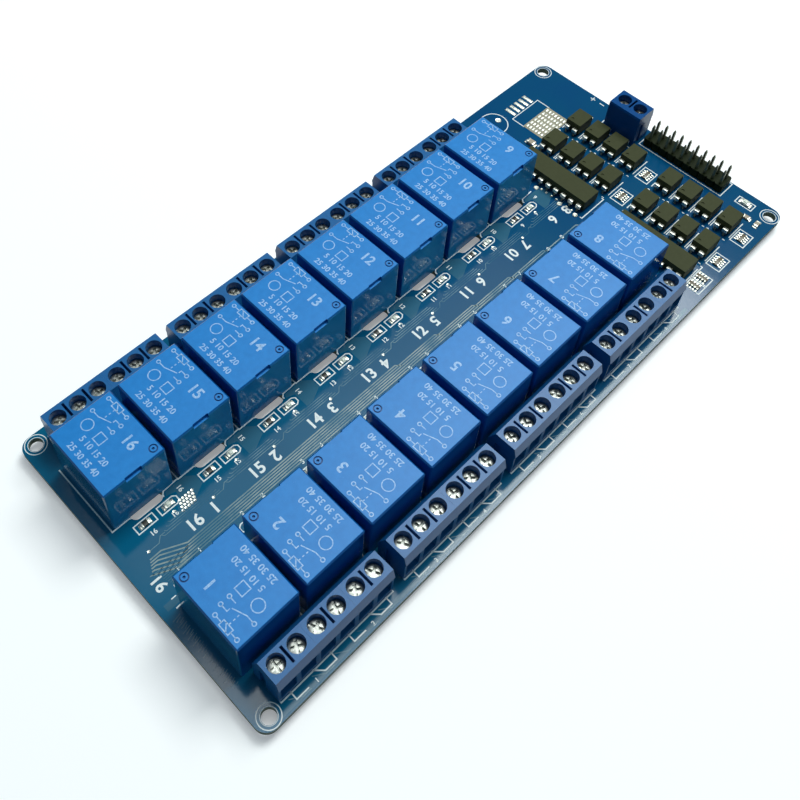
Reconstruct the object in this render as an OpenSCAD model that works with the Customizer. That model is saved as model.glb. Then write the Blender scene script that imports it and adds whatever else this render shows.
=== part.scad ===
// Sixteen-channel relay module board.
// X runs along the two relay rows, Y across the board, Z up.
// The origin is the centre of the four mounting holes on the underside.
// All sizes are in millimetres.

/* [Board] */
// Laminate thickness
board_thickness = 1.6; // [1.2:0.1:2.4]
// Radius of the four board corners
corner_radius = 3; // [1:0.5:5]
// Distance from the plain end of the board to the first relay
plain_end_margin = 4.1; // [3:0.1:12]
// Length of the board beyond the last relay, for the logic parts
logic_length = 43.5; // [42:0.5:70]
// Strip of board outside the terminal banks
edge_margin = 3; // [2:0.1:8]
// Diameter of the four mounting holes
mount_hole_d = 3.2; // [2.5:0.1:3.6]
// Distance from the hole centres to the short edges
mount_inset_x = 3.2; // [2.8:0.1:4]
// Distance from the hole centres to the long edges
mount_inset_y = 2.6; // [2.2:0.1:3.2]
// Length of each milled isolation slot
slot_length = 8.1; // [5:0.1:10]
// Width of each milled isolation slot
slot_width = 3; // [2:0.1:3.6]
// How far each slot reaches past the inner face of its relay
slot_reach = 1.6; // [0.5:0.1:1.8]

/* [Relays] */
// Relay size along the row
relay_width = 15.4; // [14:0.1:18]
// Relay size across the board
relay_length = 19; // [17:0.1:24]
// Height of the relay top above the board
relay_height = 15.3; // [12:0.1:20]
// Gap between neighbouring relays
relay_gap = 1.74; // [1:0.02:4]
// Clear width between the two relay rows
row_gap = 21.5; // [20:0.1:40]
// Wall of the relay cover around its base
cover_wall = 0.8; // [0.6:0.05:1.2]
// Thickness of the relay base
base_thickness = 1.8; // [1.2:0.1:2.6]
// Gap between relay base and cover wall
base_clearance = 0.1; // [0.05:0.05:0.2]
// Depth of the step in the inner top edge
notch_depth = 0.5; // [0.2:0.05:0.9]

/* [Terminals] */
// Spacing of the screw terminals
way_pitch = 5.08; // [5:0.01:5.3]
// Height of the terminal housings above the board
terminal_height = 10.2; // [9.5:0.1:13]
// Gap between neighbouring six-way banks
bank_gap = 3.09; // [1.5:0.01:5]
// Gap between the relays and the terminal housings
relay_terminal_gap = 0.95; // [0.5:0.05:4]
// Diameter of the screw wells
well_d = 3.8; // [3.6:0.05:4]
// Gap around the screw head in its well
screw_clearance = 0.12; // [0.08:0.01:0.2]
// Depth of the screw head below the top of the housing
screw_recess = 2.2; // [1.4:0.1:2.6]
// Width of each wire mouth
mouth_width = 3.9; // [3.6:0.05:4]
// Height of each wire mouth
mouth_height = 5.8; // [5:0.1:6]
// Gap between each wire clamp and its housing
clamp_clearance = 0.1; // [0.05:0.01:0.15]

/* [Logic parts] */
// Length of each driver package
driver_length = 22.8; // [20.8:0.1:24]
// Width of each driver package
driver_width = 6.3; // [6:0.1:6.6]
// Thickness of the driver and optocoupler packages
package_thickness = 3.2; // [2.6:0.1:3.8]
// Gap under the driver and optocoupler packages
package_standoff = 0.6; // [0.4:0.05:1]
// Length of each optocoupler package
opto_length = 6.2; // [5.8:0.1:6.5]
// Width of each optocoupler package
opto_width = 4.5; // [4.2:0.1:4.8]
// Spacing of neighbouring optocouplers
opto_pitch = 6.25; // [5.6:0.05:6.8]
// Spacing of package and header leads
lead_pitch = 2.54; // [2.5:0.01:2.56]
// Distance between the two lead rows of a package
lead_span = 7.62; // [7.4:0.02:7.8]
// Height of the header pins above the board
header_pin_height = 7.4; // [5:0.1:11]
// Width of the square header pins
header_pin_width = 0.64; // [0.5:0.02:0.8]

/* [Small parts] */
// Length of the small chip resistors and lamps
chip_length = 2; // [1.6:0.1:2.4]
// Width of the small chip resistors and lamps
chip_width = 1.25; // [0.8:0.05:1.6]
// Height of the small chip resistors and lamps
chip_height = 0.6; // [0.4:0.05:0.9]
// Length of the solder tails under relays and terminals
tail_length = 1.9; // [1.4:0.1:3]

/* [Hidden] */
fn = 32;
seat = 0.02;

relays_per_row = 8;
banks_per_side = 4;
ways_per_bank = 6;
header_columns = 10;
driver_leads_per_side = 9;
optos_per_row = 4;

zb = board_thickness;
relay_pitch = relay_width + relay_gap;
row_length = (relays_per_row - 1) * relay_pitch + relay_width;
board_length = plain_end_margin + row_length + logic_length;
relay_in = row_gap / 2;
relay_out = relay_in + relay_length;
row_x0 = -board_length / 2 + plain_end_margin;
row_mid = row_x0 + row_length / 2;

// Housing section, measured from the screw line: inner side, outer side.
sec_base_in = 4.1;
sec_top_in = 2.4;
sec_top_out = 2.8;
sec_lip_out = 3.55;
sec_base_out = 3.3;
sec_in_z = 6.3;
sec_lip_z = 7.4;
wall_sill = 1.2;
mouth_back = 2.5;
term_line = relay_out + relay_terminal_gap + sec_base_in;
board_width = 2 * (term_line + sec_base_out + edge_margin);
bank_length = ways_per_bank * way_pitch;
bank_pitch = bank_length + bank_gap;
bank_x0 = row_mid - (banks_per_side * bank_pitch - bank_gap) / 2;

// The logic end, from the last relay to the far edge: drivers, two columns of
// optocouplers, then the power terminal and the header.
far = board_length / 2;
logic_y = -7.4;
bank_step = 30.6;
driver_off = 0.3;
lead_t = 0.28;
lead_out = lead_span / 2 + lead_t / 2;
driver_gap = 4.15;
driver_x = far - logic_length + driver_gap + lead_out;
power_x = far - 5.2;
power_back = 3.6;
// Room left for the gaps between the columns, and each gap's share of it.
column_room = power_x - power_back - (driver_x + lead_out) - 4 * lead_out;
inner_share = 0.35;
outer_share = 0.48;
opto_in_x = driver_x + 2 * lead_out + inner_share * column_room;
opto_out_x = opto_in_x + 2 * lead_out + outer_share * column_room;
header_x = far - 3.35;
header_y = logic_y - 4.6;
header_h = 2.5;
power_y = header_y + (header_columns / 2) * lead_pitch + 0.5 + way_pitch + 1;

mount_x = board_length / 2 - mount_inset_x;
mount_y = board_width / 2 - mount_inset_y;

blue = "#2d7fd6";
navy = "#0a2f63";
violet = "#5a78c0";
steel = "#c9ccca";
tin = "#d8d8cf";
black = "#23251c";
mask = "#0a5a86";
ceramic = "#e8e4d6";

// Plain rectangle solid with true round vertical edges.
module round_plate(lx, ly, h, r) {
  translate([-lx / 2 + r, -ly / 2, 0]) cube([lx - 2 * r, ly, h]);
  translate([-lx / 2, -ly / 2 + r, 0]) cube([lx, ly - 2 * r, h]);
  for (sx = [-1, 1]) for (sy = [-1, 1])
    translate([sx * (lx / 2 - r), sy * (ly / 2 - r), 0]) cylinder(h = h, r = r, $fn = 48);
}

module slot_cut(x, y, l, w, h) {
  translate([x - l / 2 + w / 2, y - w / 2, -1]) cube([l - w, w, h + 2]);
  for (s = [-1, 1])
    translate([x + s * (l - w) / 2, y, -1]) cylinder(h = h + 2, d = w, $fn = fn);
}

function relay_x(i) = row_x0 + relay_width / 2 + i * relay_pitch;
// Slots sit a little off the relay centre line.
slot_off = 0.23;

module board() {
  color(mask) difference() {
    round_plate(board_length, board_width, board_thickness, corner_radius);
    for (sx = [-1, 1]) for (sy = [-1, 1])
      translate([sx * mount_x, sy * mount_y, -1]) cylinder(h = board_thickness + 2, d = mount_hole_d, $fn = 48);
    for (i = [0 : relays_per_row - 1]) for (s = [-1, 1])
      slot_cut(relay_x(i) + s * slot_off, s * (relay_in - slot_reach + slot_width / 2),
               slot_length, slot_width, board_thickness);
  }
}

// One relay cover, drawn for the upper row; the lower row is the same part turned half round.
relay_foot = 0.3;
top_ease = 0.35;
module relay_cover_shape() {
  lw = relay_width;
  ll = relay_length;
  cw = lw - 2 * cover_wall;
  cl = ll - 2 * cover_wall;
  ph = base_thickness + relay_foot;
  difference() {
    intersection() {
      translate([0, ll / 2, 0]) round_plate(lw, ll, relay_height, 0.5);
      translate([0, ll + 1, 0]) rotate([90, 0, 0]) linear_extrude(height = ll + 2)
        polygon([[-lw / 2, -1], [lw / 2, -1], [lw / 2, relay_height - top_ease],
                 [lw / 2 - top_ease, relay_height], [-lw / 2 + top_ease, relay_height],
                 [-lw / 2, relay_height - top_ease]]);
      translate([-lw / 2 - 1, 0, 0]) rotate([90, 0, 90]) linear_extrude(height = lw + 2)
        polygon([[0, -1], [ll, -1], [ll, relay_height - top_ease],
                 [ll - top_ease, relay_height], [top_ease, relay_height],
                 [0, relay_height - top_ease]]);
    }
    // open underside that takes the base
    translate([-cw / 2, cover_wall, -1]) cube([cw, cl, ph + 1]);
    // shallow step in the inner top edge
    translate([-lw * 0.14, -1, relay_height - 1.1]) cube([lw * 0.26, 1 + notch_depth, 2]);
    // vent mark: a round groove with a blind hole in its middle
    translate([lw / 2 - 1.7, 1.8, relay_height - 0.25]) {
      difference() {
        cylinder(h = 1, r = 1, $fn = fn);
        translate([0, 0, -1]) cylinder(h = 3, r = 0.7, $fn = fn);
      }
      translate([0, 0, -0.15]) cylinder(h = 1, r = 0.3, $fn = fn);
    }
  }
}

module relay_base_shape() {
  bw = relay_width - 2 * cover_wall - 2 * base_clearance;
  bl = relay_length - 2 * cover_wall - 2 * base_clearance;
  translate([-bw / 2, cover_wall + base_clearance, relay_foot]) cube([bw, bl, base_thickness]);
  for (sx = [-1, 1]) for (py = [2.2, relay_length - 2.2])
    translate([sx * (bw / 2 - 1.1), py, 0]) cylinder(h = relay_foot + seat, r = 0.8, $fn = fn);
}

// Places a relay part: row 0 is the lower row (k01 to k08), row 1 the upper (k16 to k09).
module place_relay(row, i) {
  if (row == 1) translate([relay_x(i), relay_in, zb]) children();
  else translate([relay_x(i), -relay_in, zb]) rotate([0, 0, 180]) children();
}

module relay_cover(row, i) { color(blue) place_relay(row, i) relay_cover_shape(); }

module relay_bases(row) {
  color(navy) for (i = [0 : relays_per_row - 1]) place_relay(row, i) relay_base_shape();
}

// Terminal housing for n joined ways, screw line on y = 0, mouths towards -y.
// ti, bi, to, lo, bo: section of the housing measured from the screw line.
rib_w = 1.4;
rib_out = 0.45;
well_floor = mouth_height + wall_sill;
module terminal_housing(n, ti, bi, to, lo, bo, zin) {
  h = terminal_height;
  len = n * way_pitch;
  difference() {
    union() {
      rotate([90, 0, 90]) linear_extrude(height = len)
        polygon([[bi, 0], [bi, zin], [ti, h], [-to, h], [-lo, sec_lip_z],
                 [-bo, sec_lip_z - 0.6], [-bo, 0]]);
      // joining rib on the far end
      translate([len - seat, 0.6, 0]) cube([rib_out + seat, rib_w, h - 3.4]);
    }
    // joining groove on the near end
    translate([-1, 0.6 - 0.08, -1]) cube([1 + rib_out + 0.1, rib_w + 0.16, h - 3.4 + 1.1]);
    for (k = [0 : n - 1]) translate([(k + 0.5) * way_pitch, 0, 0]) {
      translate([0, 0, wall_sill + 1]) cylinder(h = h, d = well_d, $fn = fn);
      translate([-mouth_width / 2, -lo - 1, wall_sill])
        cube([mouth_width, lo + 1 + mouth_back, mouth_height]);
    }
    for (k = [1 : max(1, n - 1)]) if (n > 1)
      translate([k * way_pitch - 0.3, -2.15, h - 2.6]) cube([0.6, 3.9, 4]);
  }
}

// One six-way bank: three two-way blocks or two three-way blocks.
block_seam = 0.04;
module terminal_bank(side, b) {
  n = (side == -1 && (b == 0 || b == banks_per_side - 1)) ? 2 : 3;
  x0 = bank_x0 + b * bank_pitch;
  color(violet) translate([side == -1 ? x0 : x0 + bank_length, side * term_line, zb])
    rotate([0, 0, side == -1 ? 0 : 180])
      for (m = [0 : ways_per_bank / n - 1]) translate([m * n * way_pitch, 0, 0])
        intersection() {
          terminal_housing(n, sec_top_in, sec_base_in, sec_top_out, sec_lip_out, sec_base_out, sec_in_z);
          translate([m == 0 ? 0 : block_seam / 2, -20, -1])
            cube([n * way_pitch + (m == ways_per_bank / n - 1 ? 2 : rib_out), 40, 2 * terminal_height]);
        }
}

// Square steel wire clamp, open towards the mouth.
clamp_wall = 0.5;
clamp_h = mouth_height - 2 * clamp_clearance;
clamp_w = mouth_width - 2 * clamp_clearance;
clamp_l = 4;
thread_d = 2.5;
head_d = well_d - 2 * screw_clearance;
module clamp_shape() {
  translate([0, 0, wall_sill + clamp_clearance]) difference() {
    translate([-clamp_w / 2, -clamp_l / 2, 0]) cube([clamp_w, clamp_l, clamp_h]);
    translate([-clamp_w / 2 + clamp_wall, -clamp_l, clamp_wall])
      cube([clamp_w - 2 * clamp_wall, 2 * clamp_l, clamp_h - 3 * clamp_wall]);
    translate([0, 0, clamp_h - 3 * clamp_wall]) cylinder(h = 4, d = thread_d + 0.1, $fn = fn);
  }
}

module screw_shape() {
  zt = terminal_height - screw_recess;
  zh = wall_sill + clamp_clearance + clamp_h;
  difference() {
    union() {
      translate([0, 0, zh + 0.02]) cylinder(h = zt - zh - 0.02, d = head_d, $fn = fn);
      translate([0, 0, zh - 3]) cylinder(h = 3.2, d = thread_d, $fn = fn);
    }
    for (a = [45, 135]) rotate([0, 0, a])
      translate([-head_d, -0.33, zt - 0.6]) cube([2 * head_d, 0.66, 1]);
  }
}

module place_ways() {
  for (side = [-1, 1]) for (b = [0 : banks_per_side - 1]) for (k = [0 : ways_per_bank - 1])
    translate([bank_x0 + b * bank_pitch + (k + 0.5) * way_pitch, side * term_line, zb])
      rotate([0, 0, side == -1 ? 0 : 180]) children();
}

module place_power() {
  for (k = [-0.5, 0.5]) translate([power_x, power_y + k * way_pitch, zb])
    rotate([0, 0, 90]) children();
}

module power_terminal() {
  color(blue) translate([power_x, power_y - way_pitch, zb]) rotate([0, 0, 90])
    terminal_housing(2, 3.4, power_back, 2.9, 3.5, 3.3, terminal_height - 0.6);
}
module terminal_clamps() { color(steel) place_ways() clamp_shape(); }
module terminal_screws() { color(steel) place_ways() screw_shape(); }
module power_clamps() { color(steel) place_power() clamp_shape(); }
module power_screws() { color(steel) place_power() screw_shape(); }

// Soldered pin end under the board: a fillet cone with the cut pin in it.
module tail(d, h) {
  translate([0, 0, -h * 0.55]) cylinder(h = h * 0.55, d1 = d * 0.5, d2 = d, $fn = 16);
  translate([0, 0, -h]) cylinder(h = h * 0.6, d = d * 0.42, $fn = 16);
}

// Pin places: common, two coil pins, two switched contacts.
relay_pins = [[0, 3.2], [-6, 5.2], [6, 5.2], [-6, 16.8], [6, 16.8]];
pin_sx = relay_width / 15.4;
pin_sy = relay_length / 19;
module relay_tails() {
  color(tin) for (row = [0, 1]) for (i = [0 : relays_per_row - 1])
    for (p = relay_pins)
      translate([0, 0, -zb]) place_relay(row, i)
        translate([p[0] * pin_sx, p[1] * pin_sy, 0]) tail(2.4, tail_length);
}

module terminal_tails() {
  color(tin) translate([0, 0, -zb]) {
    place_ways() tail(2.6, tail_length);
    place_power() tail(2.6, tail_length);
  }
}

// Two-row pin header; the pins run through the body down to the board.
header_w = 2 * lead_pitch;
header_chamfer = 0.4;
pin_clearance = 0.02;
module place_header() {
  for (k = [0 : header_columns - 1]) for (s = [-0.5, 0.5])
    translate([header_x + s * lead_pitch, header_y + (k + 0.5 - header_columns / 2) * lead_pitch, 0]) children();
}

module header_body() {
  c = header_chamfer;
  w = header_w / 2;
  hole = header_pin_width + 2 * pin_clearance;
  color(black) difference() {
    for (k = [0 : header_columns - 1])
      translate([header_x, header_y + (k - header_columns / 2) * lead_pitch, zb]) linear_extrude(height = header_h)
        polygon([[-w + c, -seat], [w - c, -seat], [w, c], [w, lead_pitch - c], [w - c, lead_pitch],
                 [-w + c, lead_pitch], [-w, lead_pitch - c], [-w, c]]);
    place_header() translate([-hole / 2, -hole / 2, 0]) cube([hole, hole, 20]);
  }
}

module header_pins() {
  w = header_pin_width;
  tip = 0.9;
  color(steel) place_header() translate([0, 0, zb]) {
    translate([-w / 2, -w / 2, 0]) cube([w, w, header_pin_height - tip]);
    translate([0, 0, header_pin_height - tip - seat])
      rotate([0, 0, 45]) cylinder(h = tip + seat, d1 = w * sqrt(2), d2 = w * 0.4, $fn = 4);
  }
}

// Moulded package, long side on Y, with slightly sloped sides.
package_mid = package_standoff + package_thickness * 0.5;
module package(w, l) {
  d = 0.22;
  t = package_thickness;
  translate([0, l / 2, package_standoff]) rotate([90, 0, 0]) linear_extrude(height = l)
    polygon([[-w / 2 + d, 0], [w / 2 - d, 0], [w / 2, t * 0.46], [w / 2, t * 0.54],
             [w / 2 - d, t], [-w / 2 + d, t], [-w / 2, t * 0.54], [-w / 2, t * 0.46]]);
}

// One bent lead, shoulder leaving the package at x = 0 towards +x.
module lead(reach, sw) {
  zt = package_mid;
  // flat shoulder and the upper, wider part of the leg
  translate([0, -sw / 2, zt - lead_t / 2]) cube([reach + lead_t / 2, sw, lead_t]);
  translate([reach - lead_t / 2, -sw / 2, zt - 1]) cube([lead_t, sw, 1]);
  // narrow lower part of the leg, down to the board
  translate([reach - lead_t / 2, -0.25, 0]) cube([lead_t, 0.5, zt]);
}

function driver_y(b) = logic_y + (b == 0 ? 1 : -1) * (bank_step / 2 + driver_off);
module driver(b) {
  color(black) translate([driver_x, driver_y(b), zb]) difference() {
    package(driver_width, driver_length);
    translate([0, driver_length / 2, package_standoff + package_thickness - 0.4])
      cylinder(h = 2, r = 1, $fn = fn);
    translate([-driver_width / 2 + 1.2, driver_length / 2 - 1.3, package_standoff + package_thickness - 0.2])
      cylinder(h = 2, r = 0.5, $fn = fn);
  }
}

module driver_leads() {
  color(tin) for (b = [0, 1]) for (k = [0 : driver_leads_per_side - 1]) for (s = [0, 180])
    translate([driver_x, driver_y(b) + (k - (driver_leads_per_side - 1) / 2) * lead_pitch, zb])
      rotate([0, 0, s]) translate([driver_width / 2, 0, 0])
        lead((lead_span - driver_width) / 2, 1.5);
}

module place_optos(bank, row) {
  for (k = [0 : optos_per_row - 1])
    translate([row == 0 ? opto_in_x : opto_out_x,
               logic_y + (bank == 0 ? 1 : -1) * bank_step / 2 + ((optos_per_row - 1) / 2 - k) * opto_pitch, zb])
      children();
}

module optos(bank, row) {
  color(black) place_optos(bank, row) difference() {
    package(opto_length, opto_width);
    translate([-opto_length / 2 + 1.2, opto_width / 2 - 1.1, package_standoff + package_thickness - 0.2])
      cylinder(h = 2, r = 0.45, $fn = fn);
  }
}

module optocoupler_leads() {
  color(tin) for (bank = [0, 1]) for (row = [0, 1]) place_optos(bank, row)
    for (k = [-0.5, 0.5]) for (s = [0, 180])
      rotate([0, 0, s]) translate([opto_length / 2, k * lead_pitch, 0])
        lead((lead_span - opto_length) / 2, 1.3);
}

// Short solder tails of the logic parts.
logic_tail = 1.2;
module logic_tails() {
  color(tin) {
    for (b = [0, 1]) for (k = [0 : driver_leads_per_side - 1]) for (s = [-1, 1])
      translate([driver_x + s * lead_span / 2, driver_y(b) + (k - (driver_leads_per_side - 1) / 2) * lead_pitch, 0])
        tail(1.6, logic_tail);
    for (bank = [0, 1]) for (row = [0, 1]) translate([0, 0, -zb]) place_optos(bank, row)
      for (k = [-0.5, 0.5]) for (s = [-1, 1])
        translate([s * lead_span / 2, k * lead_pitch, 0]) tail(1.6, logic_tail);
    place_header() tail(1.6, logic_tail);
  }
}

// Chip part with two tinned end caps, long side on X.
module chip(l, w, h) {
  c = l * 0.2;
  translate([-l / 2, -w / 2, 0]) cube([c, w, h]);
  translate([l / 2 - c, -w / 2, 0]) cube([c, w, h]);
  translate([-l / 2 + c - seat, -w / 2, 0.04]) cube([l - 2 * c + 2 * seat, w, h - 0.08]);
}

// The lower row is the upper row turned half round, so both offsets change sign.
chip_y = relay_in - 3.35;
chip_off = 0.6;
chip_gap = 6;
module place_chips(first) {
  for (i = [0 : relays_per_row - 1]) for (s = [-1, 1])
    translate([relay_x(i) + s * (first ? chip_off - chip_gap / 2 : chip_off + chip_gap / 2), s * chip_y, zb])
      rotate([0, 0, s == 1 ? 0 : 180]) children();
}
module relay_resistors() { color(black) place_chips(true) chip(chip_length, chip_width, chip_height); }

module relay_lamps() {
  color(ceramic) place_chips(false) {
    chip(chip_length, chip_width, chip_height);
    translate([0, 0, chip_height - 0.06]) cylinder(h = 0.3, d1 = chip_width * 0.85, d2 = chip_width * 0.6, $fn = fn);
  }
}

// Four-way resistor arrays: one inside each optocoupler column of each bank,
// and two side by side below the second driver.
array_l = 3.2;
array_w = 1.6;
array_gap = 1.8;
array_inner = 1.2;
array_row = bank_step - 0.6;
array_x = [opto_out_x - array_inner, opto_in_x - array_inner, opto_out_x - array_inner, opto_in_x - array_inner,
           driver_x + (array_w + array_gap) / 2, driver_x - (array_w + array_gap) / 2];
array_y = [0.2, 0.2, -array_row, -array_row, -array_row, -array_row];
module resistor_arrays() {
  color(black) for (i = [0 : len(array_x) - 1]) translate([array_x[i], logic_y + array_y[i], zb])
    rotate([0, 0, i < 4 ? 0 : 90]) {
      translate([-array_l / 2 + 0.1, -array_w / 2 + 0.2, 0]) cube([array_l - 0.2, array_w - 0.4, 0.5]);
      for (k = [-1.5 : 1 : 1.5]) for (s = [-1, 1])
        translate([k * 0.8 - 0.25, s * (array_w / 2 - 0.2) - 0.2, 0]) cube([0.5, 0.4, 0.53]);
    }
}

power_lamp_size = 1.25;
module power_lamp() {
  h = chip_height * power_lamp_size;
  color(ceramic) translate([header_x - 0.55, header_y - 19.5, zb]) rotate([0, 0, 90]) {
    chip(chip_length * power_lamp_size, chip_width * power_lamp_size, h);
    translate([0, 0, h - 0.06]) cylinder(h = 0.35, d1 = chip_width, d2 = chip_width * 0.7, $fn = fn);
  }
}

// Power lamp resistor, a spare chip and the supply capacitor.
module logic_chips() {
  color(ceramic) {
    for (k = [0, 1]) translate([header_x - 4.8, header_y - 22.4 - 3.2 * k, zb])
      rotate([0, 0, k == 0 ? 90 : 0]) chip(chip_length, chip_width, chip_height);
    translate([opto_in_x - 3.7, logic_y + bank_step - 1, zb]) rotate([0, 0, 90])
      chip(chip_length * 1.2, chip_width * 1.3, chip_height * 1.6);
  }
}

board();
relay_cover(0, 0);  // relay_cover_k01
relay_cover(0, 1);  // relay_cover_k02
relay_cover(0, 2);  // relay_cover_k03
relay_cover(0, 3);  // relay_cover_k04
relay_cover(0, 4);  // relay_cover_k05
relay_cover(0, 5);  // relay_cover_k06
relay_cover(0, 6);  // relay_cover_k07
relay_cover(0, 7);  // relay_cover_k08
relay_cover(1, 7);  // relay_cover_k09
relay_cover(1, 6);  // relay_cover_k10
relay_cover(1, 5);  // relay_cover_k11
relay_cover(1, 4);  // relay_cover_k12
relay_cover(1, 3);  // relay_cover_k13
relay_cover(1, 2);  // relay_cover_k14
relay_cover(1, 1);  // relay_cover_k15
relay_cover(1, 0);  // relay_cover_k16
relay_bases(0);  // relay_bases_lower
relay_bases(1);  // relay_bases_upper
terminal_bank(-1, 0);  // terminal_bank_lower_1
terminal_bank(-1, 1);  // terminal_bank_lower_2
terminal_bank(-1, 2);  // terminal_bank_lower_3
terminal_bank(-1, 3);  // terminal_bank_lower_4
terminal_bank(1, 0);  // terminal_bank_upper_1
terminal_bank(1, 1);  // terminal_bank_upper_2
terminal_bank(1, 2);  // terminal_bank_upper_3
terminal_bank(1, 3);  // terminal_bank_upper_4
power_terminal();
terminal_clamps();
terminal_screws();
power_clamps();
power_screws();
relay_tails();
terminal_tails();
header_body();
header_pins();
driver(0);  // driver_1
driver(1);  // driver_2
driver_leads();
optos(0, 0);  // optocouplers_1_inner
optos(0, 1);  // optocouplers_1_outer
optos(1, 0);  // optocouplers_2_inner
optos(1, 1);  // optocouplers_2_outer
optocoupler_leads();
logic_tails();
relay_resistors();
relay_lamps();
resistor_arrays();
power_lamp();
logic_chips();
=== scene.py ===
"""Looks for the sixteen-channel relay board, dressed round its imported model.

The sizes of its pieces are in millimetres, and mm turns them into metres."""
import math
import random

import bpy
from mathutils import Matrix, Vector


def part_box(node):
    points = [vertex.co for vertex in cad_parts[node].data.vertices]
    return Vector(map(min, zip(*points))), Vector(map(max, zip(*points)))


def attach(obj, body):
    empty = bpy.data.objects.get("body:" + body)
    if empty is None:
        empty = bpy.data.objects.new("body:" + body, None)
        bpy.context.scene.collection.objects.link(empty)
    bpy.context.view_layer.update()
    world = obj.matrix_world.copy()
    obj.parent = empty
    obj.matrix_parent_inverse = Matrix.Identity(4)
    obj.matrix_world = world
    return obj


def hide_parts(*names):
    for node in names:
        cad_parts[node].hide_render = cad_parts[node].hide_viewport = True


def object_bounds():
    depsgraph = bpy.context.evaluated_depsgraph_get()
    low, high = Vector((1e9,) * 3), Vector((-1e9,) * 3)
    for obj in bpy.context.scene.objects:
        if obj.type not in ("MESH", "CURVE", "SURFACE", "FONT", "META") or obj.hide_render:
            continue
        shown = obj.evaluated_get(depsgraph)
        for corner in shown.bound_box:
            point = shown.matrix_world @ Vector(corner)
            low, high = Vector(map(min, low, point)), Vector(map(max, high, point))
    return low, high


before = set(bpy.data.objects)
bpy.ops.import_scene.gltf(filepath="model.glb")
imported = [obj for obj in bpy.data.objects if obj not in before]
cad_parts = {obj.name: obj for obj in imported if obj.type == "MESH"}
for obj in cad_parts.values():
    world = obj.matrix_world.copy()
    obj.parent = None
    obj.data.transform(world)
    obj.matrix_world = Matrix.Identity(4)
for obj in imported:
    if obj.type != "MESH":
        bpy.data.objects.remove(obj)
cad_low, cad_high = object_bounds()
mm = 0.001

# ---- Camera ----
# It stands over the corner of the board that has the first relay of each row,
# and looks along the rows towards the pin header.
bpy.ops.object.select_all(action="DESELECT")
bpy.ops.object.camera_add(location=(-0.11537, -0.08181, 0.20755),
                          rotation=[math.radians(a) for a in (39.2264, -1.5393, -44.5428)])
camera = bpy.context.object
camera.data.sensor_width = 36
camera.data.lens = 46.058
camera.data.shift_x = 0.0525
camera.data.shift_y = -0.2175
camera.data.clip_start = 0.01
bpy.context.scene.camera = camera

# ---- Studio ----
# A white floor under the solder tails, a broad soft lamp overhead towards the header
# end with two weaker ones beside it, and a dim room with a white horizon. The floor's
# white is for the eye and for gloss, and throws little light back up.
bpy.context.scene.view_settings.view_transform = "Standard"


def add_math(owner, operation, first, second=None):
    """Works out one number from one or two; each is a number or another node's output."""
    result = owner.node_tree.nodes.new("ShaderNodeMath")
    result.operation = operation
    for socket, value in zip(result.inputs, (first, second)):
        if isinstance(value, float):
            socket.default_value = value
        elif value is not None:
            owner.node_tree.links.new(value, socket)
    return result.outputs[0]


def add_range(owner, source, low, high, low_value, high_value):
    """Turns a pattern's low to high into two values."""
    span = owner.node_tree.nodes.new("ShaderNodeMapRange")
    limits = {"From Min": low, "From Max": high, "To Min": low_value, "To Max": high_value}
    for socket, value in limits.items():
        span.inputs[socket].default_value = value
    owner.node_tree.links.new(source, span.inputs["Value"])
    return span.outputs["Result"]


def add_blend(owner, factor, colour_a, colour_b):
    """A colour that runs from a to b; each is a colour or another node's output."""
    nodes, links = owner.node_tree.nodes, owner.node_tree.links
    blend = nodes.new("ShaderNodeMix")
    blend.data_type = "RGBA"
    links.new(factor, blend.inputs["Factor"])
    for socket, colour in (("A", colour_a), ("B", colour_b)):
        if isinstance(colour, tuple):
            blend.inputs[socket].default_value = (*colour, 1)
        else:
            links.new(colour, blend.inputs[socket])
    return blend.outputs["Result"]


def add_seen(owner):
    """Two outputs: 1 for camera rays, and 1 for rays sent out by gloss or through a clear part."""
    ray = owner.node_tree.nodes.new("ShaderNodeLightPath")
    by_gloss = add_math(owner, "MAXIMUM", ray.outputs["Is Glossy Ray"],
                        ray.outputs["Is Transmission Ray"])
    return ray.outputs["Is Camera Ray"], by_gloss


floor_size, floor_glow = 5, 0.28
floor_unseen, floor_white = (0.05, 0.05, 0.05), (0.9, 0.9, 0.9)
bpy.ops.mesh.primitive_plane_add(size=floor_size, location=(0, 0, cad_low.z))
floor = bpy.context.object
floor.name = "floor"
floor_paint = bpy.data.materials.new("floor_paint")
floor_paint.use_nodes = True
nodes, links = floor_paint.node_tree.nodes, floor_paint.node_tree.links
nodes.clear()
paint_out = nodes.new("ShaderNodeOutputMaterial")
paint = nodes.new("ShaderNodeBsdfDiffuse")
glow = nodes.new("ShaderNodeEmission")
paint_and_glow = nodes.new("ShaderNodeAddShader")
seen = add_math(floor_paint, "MAXIMUM", *add_seen(floor_paint))
links.new(add_blend(floor_paint, seen, floor_unseen, floor_white), paint.inputs["Color"])
links.new(add_math(floor_paint, "MULTIPLY", seen, floor_glow), glow.inputs["Strength"])
links.new(paint.outputs[0], paint_and_glow.inputs[0])
links.new(glow.outputs[0], paint_and_glow.inputs[1])
links.new(paint_and_glow.outputs[0], paint_out.inputs["Surface"])
floor.data.materials.append(floor_paint)

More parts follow.
